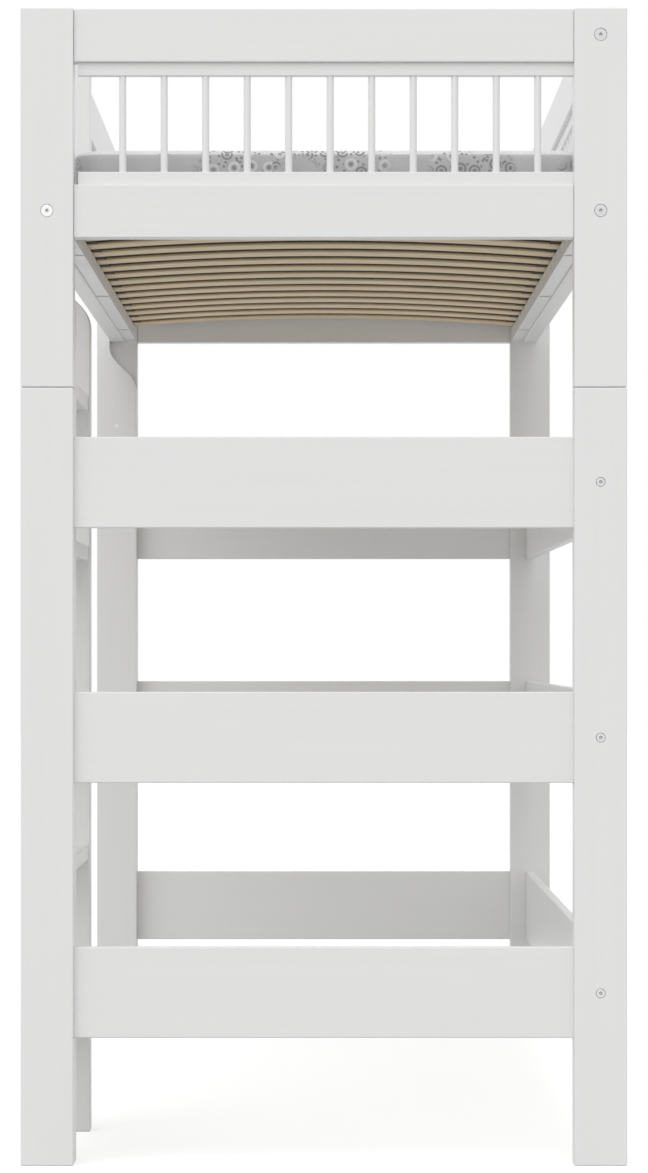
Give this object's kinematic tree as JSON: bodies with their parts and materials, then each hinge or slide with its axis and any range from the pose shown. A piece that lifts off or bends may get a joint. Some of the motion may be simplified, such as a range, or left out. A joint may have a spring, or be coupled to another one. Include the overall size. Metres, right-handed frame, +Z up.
{
  "type": "loft bed",
  "caption": "High single bed on tall posts, with an upright ladder at one side, guards of round bars all round, bowed slats and a foam mattress.",
  "frame": {"origin": "on the floor, under the middle of the bed", "axes": "+X across the bed away from the ladder, +Y along the bed away from the ladder's end, +Z up"},
  "size_m": [1.056, 2.106, 2.016],
  "materials": {
    "lacquer": "smooth white satin lacquer on solid wood",
    "birch": "bare birch plywood, sanded",
    "zinc": "bright zinc plating",
    "cover": "grey woven cover with a loose print of rings and dots"
  },
  "bodies": {
    "bed_frame": {"lower_post_front_left": "lacquer", "upper_post_front_left": "lacquer", "lower_post_front_right": "lacquer", "upper_post_front_right": "lacquer", "lower_post_rear_left": "lacquer", "upper_post_rear_left": "lacquer", "lower_post_rear_right": "lacquer", "upper_post_rear_right": "lacquer", "front_top_board": "lacquer", "front_bed_rail": "lacquer", "front_lower_rail_1": "lacquer", "front_lower_rail_2": "lacquer", "front_lower_rail_3": "lacquer", "rear_top_board": "lacquer", "rear_bed_rail": "lacquer", "rear_lower_rail_1": "lacquer", "rear_lower_rail_2": "lacquer", "rear_lower_rail_3": "lacquer", "left_bed_rail": "lacquer", "left_guard_board": "lacquer", "left_slat_bearer": "lacquer", "right_bed_rail": "lacquer", "right_guard_board": "lacquer", "right_slat_bearer": "lacquer", "right_lower_rail_1": "lacquer", "right_lower_rail_2": "lacquer", "right_lower_rail_3": "lacquer", "front_guard_top_rail": "lacquer", "front_guard_bars": "lacquer", "rear_guard_top_rail": "lacquer", "rear_guard_bars": "lacquer", "left_guard_top_rail": "lacquer", "left_guard_bars": "lacquer", "right_guard_top_rail": "lacquer", "right_guard_bars": "lacquer", "ladder_front_upright": "lacquer", "ladder_entry_post": "lacquer", "rear_support_board": "lacquer", "ladder_step_1": "lacquer", "ladder_step_2": "lacquer", "ladder_step_3": "lacquer", "ladder_step_4": "lacquer", "ladder_step_5": "lacquer", "bed_slats": "birch", "bolt_front_left_bed_rail": "zinc", "bolt_entry_post_guard_board": "zinc", "bolt_front_right_bed_rail": "zinc", "bolt_front_right_guard_board": "zinc", "bolt_rear_left_bed_rail": "zinc", "bolt_rear_left_guard_board": "zinc", "bolt_rear_right_bed_rail": "zinc", "bolt_rear_right_guard_board": "zinc", "bolt_front_right_lower_rail_1": "zinc", "bolt_front_right_lower_rail_2": "zinc", "bolt_front_right_lower_rail_3": "zinc", "bolt_rear_right_lower_rail_1": "zinc", "bolt_rear_right_lower_rail_2": "zinc", "bolt_rear_right_lower_rail_3": "zinc", "support_board_screw": "zinc"},
    "loose_mattress": {"mattress": "cover"}
  },
  "joints": [
    {"name": "mattress_lift", "type": "slide", "parent": "bed_frame", "child": "loose_mattress", "axis": [0, 0, 1], "range_m": [0, 0.4]}
  ]
}
